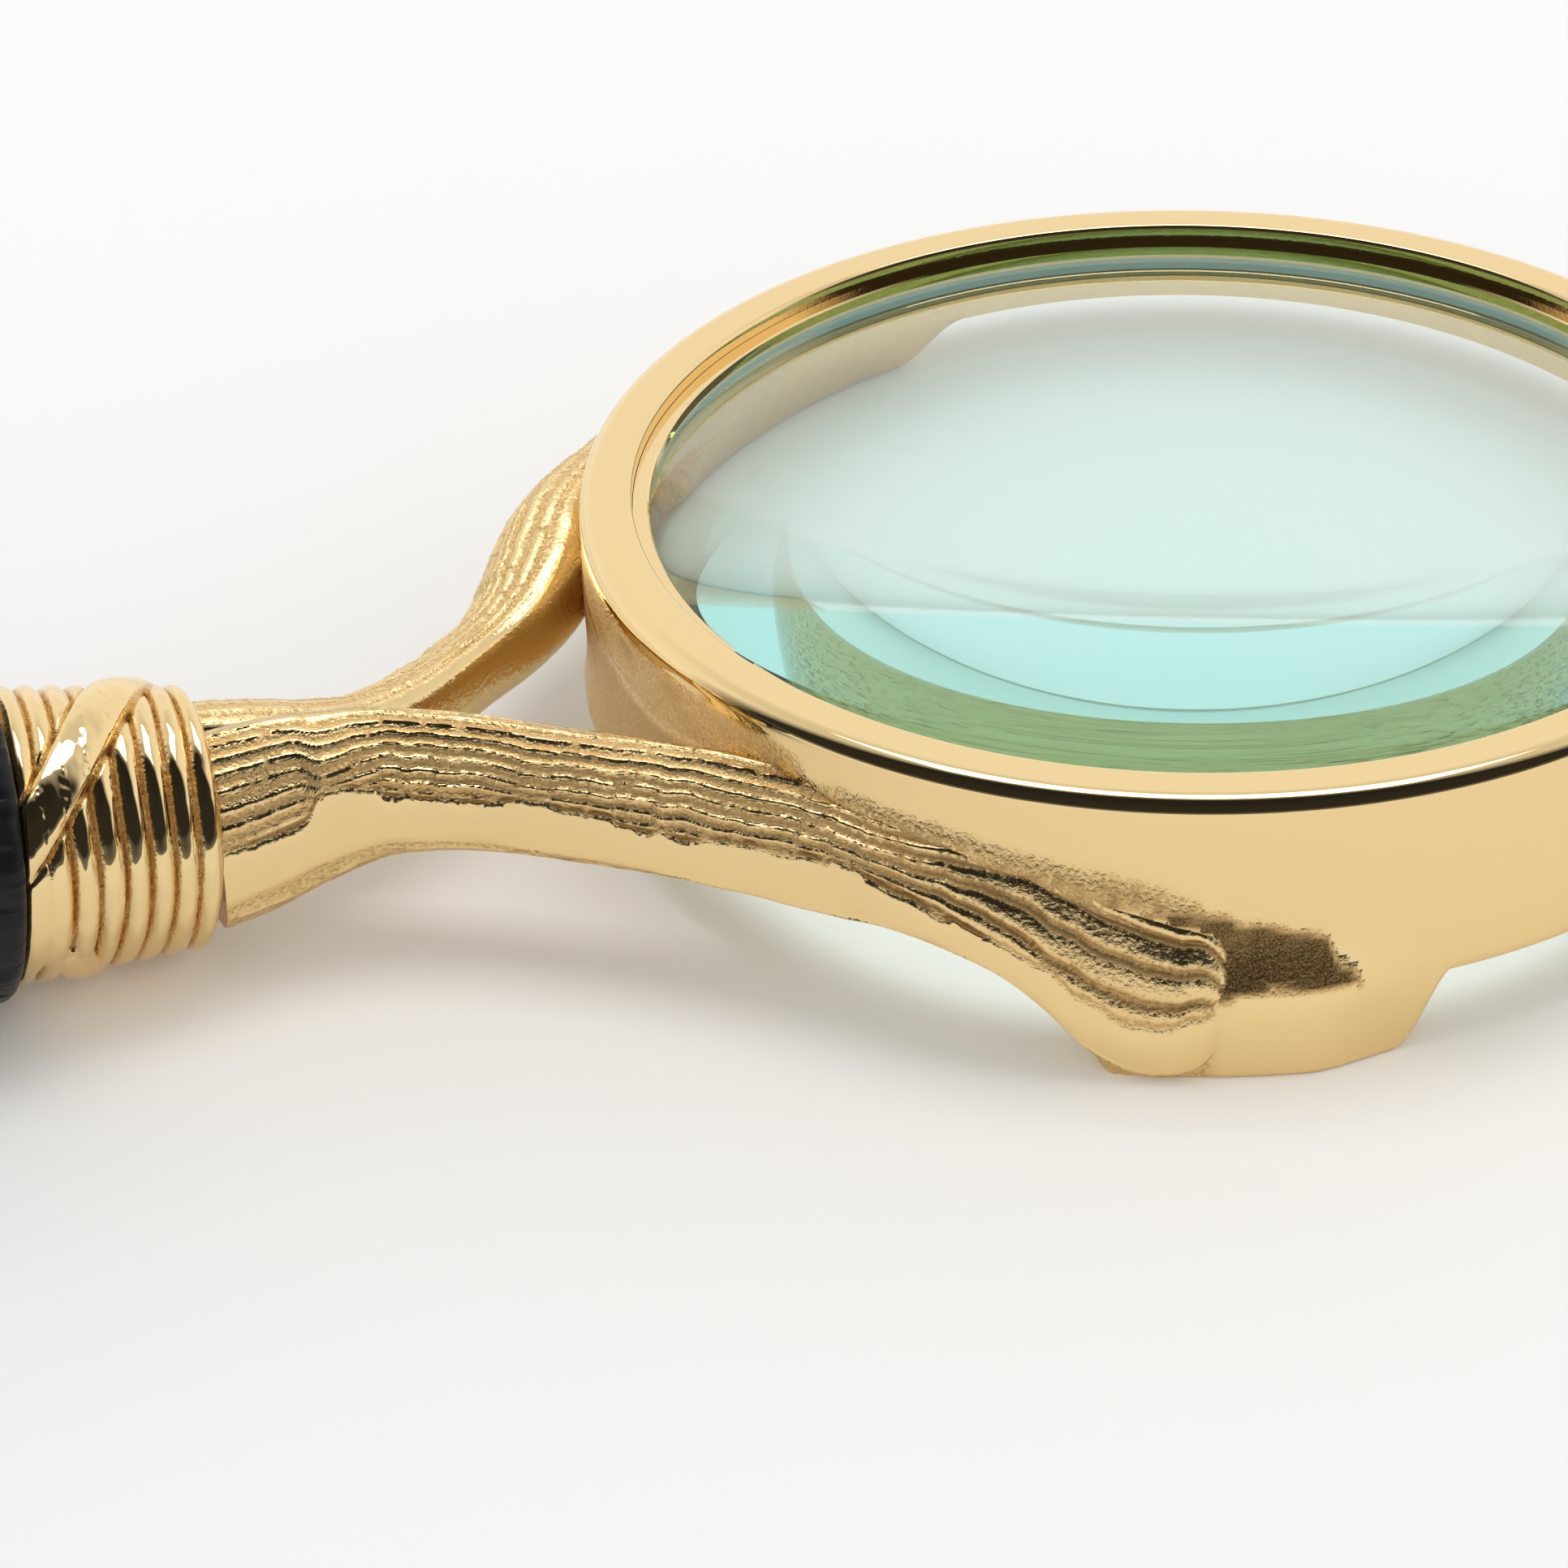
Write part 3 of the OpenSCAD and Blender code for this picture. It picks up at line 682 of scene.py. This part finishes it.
# ---- Collar: turns of cord under a crossing strap --------------------------
def build_collar():
    """Collar whose turns, strap and far strap are one height field around the handle's axis."""
    around, along = 540, 170
    phi = np.linspace(-math.pi, math.pi, around, endpoint=False)[:, None]   # 0 on top, + to the near side
    s = np.linspace(0, COLLAR_LEN, along)[None, :]
    crest = COLLAR_FRONT_R + (COLLAR_REAR_R - COLLAR_FRONT_R) * s / COLLAR_LEN
    lean = 0.55 * np.exp(-((phi + 0.35) / 0.6) ** 2)
    lean = lean + 0.35 * noise(np.cos(phi) * 1.4 + 4, np.sin(phi) * 1.4, s * 0.16)
    t = (s - 0.15 + lean * smooth(s, 0.5, 3)) / PITCH
    f = t - np.floor(t)
    bead = np.sqrt(np.clip(1 - 1.22 * (2 * f - 1) ** 2, 0, 1))
    dug = 0.95 + 0.25 * noise(np.cos(phi) * 3, np.sin(phi) * 3, np.floor(t) * 1.7 + 2)
    worn = smooth(s, 13.7, 14.8) * smooth(phi, 0.95, 1.35) * (1 - smooth(phi, 2.05, 2.3))
    depth = dug * (1 - 0.9 * worn) * (0.55 + 0.45 * smooth(np.abs(phi - 0.9), 2.2, 1.2))
    coil = -depth * (1 - bead)
    valley = (1 - smooth(bead, 0.30, 0.80)) * (1 - 0.9 * worn)

    # the strap runs over the top and down the near side towards the grip
    line = 8.4 + 6.6 * phi + 1.3 * phi ** 2
    across = (s - line) / 2.5
    strap = np.clip(1 - across ** 2, 0, None) ** 0.5
    over = smooth(phi, -1.25, -0.9) * (1 - smooth(phi, 1.15, 1.5))
    strap_lift = (0.15 + 0.85 * strap) * over * (np.abs(across) < 1)
    edge = np.exp(-((np.abs(across) - 1.06) / 0.10) ** 2) * over
    # a second, flatter strap crosses on the hidden side
    line2 = 8.5 - 4.2 * (phi + math.pi * np.where(phi < 0, 1, -1))
    across2 = (s - line2) / 1.8
    over2 = smooth(np.abs(phi), 2.0, 2.3)
    strap2 = np.clip(1 - across2 ** 2, 0, None) ** 0.5 * over2 * (np.abs(across2) < 1)
    base = np.maximum(coil, -0.2 + 0.6 * strap2 - (strap2 <= 0) * 9)
    radius = crest + np.maximum(base, -0.25 + 0.98 * strap_lift - (strap_lift <= 0) * 9) - 0.45 * edge
    radius = radius + 0.05 * noise(np.cos(phi) * 9, np.sin(phi) * 9, s * 1.3)
    radius = radius + 0.06 * noise(np.cos(phi) * 30, np.sin(phi) * 30, s * 2.4) * valley
    radius = np.maximum(radius, 9.9)
    cast = np.clip(valley * (strap_lift <= 0) * (strap2 <= 0) + 0.9 * edge, 0, 1)
    # rounded ends and the bore
    ends = np.minimum(s, COLLAR_LEN - s)
    radius = radius - 0.9 * (1 - np.sqrt(np.clip(1 - (1 - np.clip(ends / 0.9, 0, 1)) ** 2, 0, 1)))
    one = 1 + 0 * phi
    bore = COLLAR_BORE_R * one
    r_all = np.concatenate([radius, 8.5 * one, bore, bore, 8.5 * one], 1)
    s_all = np.concatenate([s + 0 * phi, COLLAR_LEN * one, COLLAR_LEN * one, 0 * one, 0 * one], 1)
    cast = np.concatenate([cast, 0.3 * one, 0 * one, 0 * one, 0.6 * one], 1)
    pts = place(r_all * np.cos(phi), -r_all * np.sin(phi), s_all, True)
    return ring_mesh("lashing", pts, brass_cast, cast, 50)


collar = build_collar()


# ---- Grip ------------------------------------------------------------------
def build_grip():
    """Fluted grip, bored for the rod, with the nut's pocket at its rear."""
    around, along = 400, 190
    phi = np.linspace(0, 2 * math.pi, around, endpoint=False)[:, None]
    s = np.concatenate([np.linspace(0, 2, 24, endpoint=False), np.linspace(2, GRIP_LEN - 1, along),
                        np.linspace(GRIP_LEN - 0.9, GRIP_LEN, 8)])[None, :]
    t = s / GRIP_LEN
    body = GRIP_FRONT_R + (GRIP_REAR_R - GRIP_FRONT_R) * t + 1.2 * np.sin(math.pi * t)
    twist = phi + 0.05 * noise(s * 0.05, 7.7, 0.0)
    lanes = twist * 17 / (2 * math.pi) + 0.35 * noise(np.cos(phi) * 2, np.sin(phi) * 2, s * 0.03)
    flute = np.abs(np.sin(math.pi * lanes)) ** 0.6
    groove = 0.45 * (1 - flute) * smooth(s, 0.3, 2.5) * smooth(GRIP_LEN - s, 0.5, 3)
    facet = 0.22 * noise(np.cos(phi) * 5, np.sin(phi) * 5, s * 0.045)
    nick = 0.10 * np.abs(noise(np.cos(phi) * 14, np.sin(phi) * 14, s * 0.12))
    front = 1.15 * (1 - np.sqrt(np.clip(1 - (1 - np.clip(s / 1.6, 0, 1)) ** 2, 0, 1)))
    rear = 0.5 * (1 - np.sqrt(np.clip(1 - (1 - np.clip((GRIP_LEN - s) / 0.6, 0, 1)) ** 2, 0, 1)))
    radius = body - 0.1 - groove + facet * 0.5 - nick - front - rear
    one = 1 + 0 * phi
    pocket = GRIP_LEN - POCKET
    r_all = np.concatenate([radius, 9.5 * one, 6.2 * one, 6.2 * one, 3.3 * one, 3.3 * one, 9.5 * one], 1)
    s_all = np.concatenate([s + 0 * phi, GRIP_LEN * one, GRIP_LEN * one, pocket * one, pocket * one,
                            0 * one, 0 * one], 1) + COLLAR_LEN
    pts = place(r_all * np.cos(phi), -r_all * np.sin(phi), s_all, True)
    return ring_mesh("fluted_grip", pts, black, None, 40)


grip = build_grip()


# ---- Lens and what holds it ------------------------------------------------
def build_lens():
    """Biconvex lens with two like faces and a ground edge."""
    gap = 0.25                                   # between the lens's edge and each cushion
    edge_lo, edge_hi = SEAT_Z + CUSHION_T + gap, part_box("lens_top_cushion")[0][2] / MM - gap
    sag = lens_hi[2] - edge_hi
    face_r = (LENS_R ** 2 + sag ** 2) / (2 * sag)
    bevel = 0.12
    r = np.linspace(LENS_R - bevel, 0.0, 56)
    dome = np.sqrt(face_r ** 2 - r ** 2) - (face_r - sag)
    profile = [(a, edge_hi + b) for a, b in zip(r, dome)]
    profile += [(a, edge_lo - b) for a, b in zip(r[::-1], dome[::-1])]
    profile += [(LENS_R, edge_lo + bevel), (LENS_R, edge_hi - bevel)]
    obj = lathe("lens_body", profile, glass, 360, sharp=30)
    obj.data.materials.append(ground)            # the edge only
    for poly in obj.data.polygons:
        if abs(poly.normal.z) < 0.5:
            poly.material_index = 1
    return obj


def build_cushion(name, low):
    """Flat ring that the lens's edge rests on or under."""
    return lathe(name, [(LENS_R, low), (LENS_R, low + CUSHION_T), (LENS_R - CUSHION_W, low + CUSHION_T),
                        (LENS_R - CUSHION_W, low)], rubber, 256)


lens_body = build_lens()
cushion = build_cushion("seat_cushion", SEAT_Z)
top_cushion = build_cushion("top_cushion", ring_lo[2] - CUSHION_T)


def build_ring():
    """Threaded ring with a shallow spanner notch at each side."""
    around = 720
    notch_at, notch_half, notch_deep = math.radians(15), 1.5, 0.5
    a = np.linspace(0, 2 * math.pi, around, endpoint=False)
    outer, inner = BORE_R - 0.05, BORE_R - 1.5
    notch = (np.abs(np.sin(a - notch_at)) * BORE_R < notch_half)[:, None]
    hi = ring_hi[2] - notch_deep * notch
    one = 1 + 0 * hi
    r = np.concatenate([outer * one, outer * one, (inner + 0.15) * one, inner * one, inner * one], 1)
    z = np.concatenate([ring_lo[2] * one, hi, hi, hi - 0.15, ring_lo[2] * one], 1)
    return ring_mesh("retainer", place(r * np.cos(a)[:, None], r * np.sin(a)[:, None], z, False),
                     brass_turned, np.zeros(r.shape), 35)


retainer = build_ring()

# ---- Hardware inside the grip, and the pommel ------------------------------
pin = rod("pin", PIN_R, -2.95, 3.0, steel, -PIN_AT)
tie = rod("tie", ROD_R, -11.95, GRIP_REAR + 4.95, steel)
WASHER_LO, WASHER_HI = GRIP_REAR - POCKET, GRIP_REAR - POCKET + WASHER_T
washer = lathe("washer", [(WASHER_BORE_R, WASHER_LO), (WASHER_R, WASHER_LO), (WASHER_R, WASHER_HI),
                          (WASHER_BORE_R, WASHER_HI)], steel, 96, True)


def build_nut():
    """Hexagon nut bored for the rod."""
    a = np.linspace(0, 2 * math.pi, 96, endpoint=False)
    flat = NUT_FLAT / np.cos((a + math.pi / 6) % (math.pi / 3) - math.pi / 6)
    one = np.ones_like(a)
    bore, wide, deep = ROD_BORE_R * one, 0.35, 0.25          # the chamfer is wide and deep
    r = np.stack([bore, flat - wide, flat, flat, flat - wide, bore], 1)
    z = WASHER_HI + np.stack([step * one for step in (0, 0, deep, NUT_H - deep, NUT_H, NUT_H)], 1)
    return ring_mesh("nut", place(r * np.cos(a)[:, None], r * np.sin(a)[:, None], z, True), steel, None, 30)


nut = build_nut()
POMMEL_R, DOME_R, THREAD_DEPTH = GRIP_REAR_R + 0.4, 14.0, 5.0
dome_deep = math.sqrt(DOME_R ** 2 - POMMEL_R ** 2)
dome_at = GRIP_REAR + THREAD_DEPTH - dome_deep
swing = np.linspace(math.acos(dome_deep / DOME_R), 0.0, 26)
profile = [(ROD_BORE_R, GRIP_REAR), (POMMEL_R - 0.3, GRIP_REAR), (POMMEL_R, GRIP_REAR + 0.3),
           (POMMEL_R, GRIP_REAR + 1.9), (POMMEL_R - 0.35, GRIP_REAR + 2.15), (POMMEL_R, GRIP_REAR + 2.4),
           (POMMEL_R, GRIP_REAR + 4.8)]
profile += [(DOME_R * math.sin(q), dome_at + DOME_R * math.cos(q)) for q in swing[1:]]
profile += [(0.0, GRIP_REAR + THREAD_DEPTH), (ROD_BORE_R, GRIP_REAR + THREAD_DEPTH)]
pommel = lathe("cap", profile, brass_turned, 256, True, np.zeros((256, len(profile))), 30)

for piece, node, slot in (
        (casting, "frame_casting", "cast_brass"), (lens_body, "lens", "lens_glass"),
        (cushion, "lens_cushion", "cushion_rubber"), (top_cushion, "lens_top_cushion", "cushion_rubber"),
        (retainer, "retaining_ring", "turned_brass"), (collar, "lashed_collar", "cast_brass"),
        (pin, "collar_pin", "steel"), (grip, "grip", "black_grip"), (tie, "tie_rod", "steel"),
        (washer, "tie_rod_washer", "steel"), (nut, "tie_rod_nut", "steel"),
        (pommel, "pommel", "turned_brass")):
    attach(piece, "root")
    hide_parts(node)


# ---- Floor, world, light, camera -------------------------------------------
def quad(name, half, material):
    """Flat square at height 0."""
    mesh = bpy.data.meshes.new(name)
    corners = [(-half, -half, 0), (half, -half, 0), (half, half, 0), (-half, half, 0)]
    mesh.from_pydata(corners, [], [(0, 1, 2, 3)])
    mesh.materials.append(material)
    obj = bpy.data.objects.new(name, mesh)
    bpy.context.collection.objects.link(obj)
    return obj


floor = quad("floor", 4.0, plain_material("paper", (0.80, 0.80, 0.79), 0.0, 0.8, 40, 0.05))
floor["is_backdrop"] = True

VIEW = math.radians(245)                 # direction of the camera from the lens
toward = Vector((math.cos(VIEW), math.sin(VIEW), 0))
world = bpy.data.worlds.new("studio")
bpy.context.scene.world = world
world.use_nodes = True
wt = world.node_tree
background = wt.nodes["Background"]
coords = wt.nodes.new("ShaderNodeTexCoord")
facing = wt.nodes.new("ShaderNodeVectorMath")
facing.operation = "DOT_PRODUCT"
facing.inputs[1].default_value = toward
link(wt, coords.outputs["Generated"], facing.inputs[0])
split = wt.nodes.new("ShaderNodeSeparateXYZ")
link(wt, coords.outputs["Generated"], split.inputs[0])
height = split.outputs["Z"]

# what brass and glass see: a bright studio that falls off towards the camera and overhead
fall = remap(wt, facing.outputs["Value"], (-0.12, 0.16), (1.0, 0.03))
high = remap(wt, height, (0.60, 0.85), (1.0, 0.75))
low = remap(wt, height, (0.12, 0.42), (1.05, 1.0))
glow = remap(wt, height, (0.0, 0.22), (0.22, 0.0))
sky = compute(wt, "MULTIPLY", fall, compute(wt, "MULTIPLY", low, high))
seen = compute(wt, "MAXIMUM", glow, sky)
# what lights the paper: an even fill, stronger near the horizon
rise = compute(wt, "SUBTRACT", 1.0, height, clamp=True)
fill = compute(wt, "MULTIPLY_ADD", compute(wt, "POWER", rise, 2.0), 2.6, 0.495)
path = wt.nodes.new("ShaderNodeLightPath")
choose = wt.nodes.new("ShaderNodeMix")
link(wt, compute(wt, "GREATER_THAN", path.outputs["Diffuse Depth"], 0.5), choose.inputs["Factor"])
link(wt, seen, choose.inputs["A"])
link(wt, fill, choose.inputs["B"])
link(wt, choose.outputs["Result"], background.inputs["Strength"])
background.inputs["Color"].default_value = (1, 1, 1, 1)

centre = Vector((AXIS_X * MM, 0, TOP_Z * MM))


def new_lamp(name, kind, where, watts):
    """A lamp placed from the rim's centre and aimed at it."""
    data = bpy.data.lights.new(name, kind)
    data.energy = watts
    lamp = bpy.data.objects.new(name, data)
    bpy.context.collection.objects.link(lamp)
    lamp.location = centre + where
    lamp.rotation_mode = "QUATERNION"
    lamp.rotation_quaternion = (-where).to_track_quat("-Z", "Y")
    return lamp, data


softbox, box_data = new_lamp("softbox", "AREA", -toward * 0.6 + Vector((0, 0, 2.6)), 24)
box_data.shape, box_data.size, box_data.size_y = "RECTANGLE", 2.1, 1.2
softbox.visible_transmission = False
# the light that the lens gathers on the paper below it
focus, focus_data = new_lamp("focus", "SPOT", Vector((0, 0, 1.5)), 9.5)
focus_data.spot_size, focus_data.spot_blend = math.radians(3.7), 0.6
focus_data.color = (1.0, 0.92, 0.90)
focus_data.shadow_soft_size = 0.05
focus.visible_glossy = focus.visible_transmission = False
world.cycles.sampling_method = "NONE"

ELEVATION, RIM_RADII_AWAY = 28.891, 7.5486
AIM_RIGHT, AIM_UP, ROLL = -4.9594, -4.0167, 1.056        # degrees from a view straight at the centre
elevation, distance = math.radians(ELEVATION), RIM_RADII_AWAY * RIM_R * MM
eye = centre + (toward * math.cos(elevation) + Vector((0, 0, math.sin(elevation)))) * distance
ahead = (centre - eye).normalized()
right = Vector((-math.sin(VIEW), math.cos(VIEW), 0))
up = right.cross(ahead)


def turned(first, second, degrees):
    """Two perpendicular directions turned in their own plane."""
    c, s = math.cos(math.radians(degrees)), math.sin(math.radians(degrees))
    return first * c + second * s, second * c - first * s


ahead, right = turned(ahead, right, AIM_RIGHT)
ahead, up = turned(ahead, up, AIM_UP)
right, up = turned(right, up, ROLL)
camera_data = bpy.data.cameras.new("camera")
camera_data.lens, camera_data.sensor_width = 105, 36
camera_data.clip_start, camera_data.clip_end = 0.01, 50
camera = bpy.data.objects.new("camera", camera_data)
bpy.context.collection.objects.link(camera)
pose = Matrix((right, up, -ahead)).transposed().to_4x4()
pose.translation = eye
camera.matrix_world = pose
bpy.context.scene.camera = camera
bpy.context.scene.view_settings.view_transform = "Standard"
cycles = bpy.context.scene.cycles
cycles.max_bounces, cycles.glossy_bounces, cycles.transmission_bounces = 32, 24, 24


def plain(bounds):
    if isinstance(bounds, dict):
        return {k: plain(v) for k, v in bounds.items()}
    if isinstance(bounds, (list, tuple, Vector, np.ndarray)):
        return [plain(v) for v in bounds]
    return float(bounds)


{"before": plain(bounds_before), "after": plain(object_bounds())}
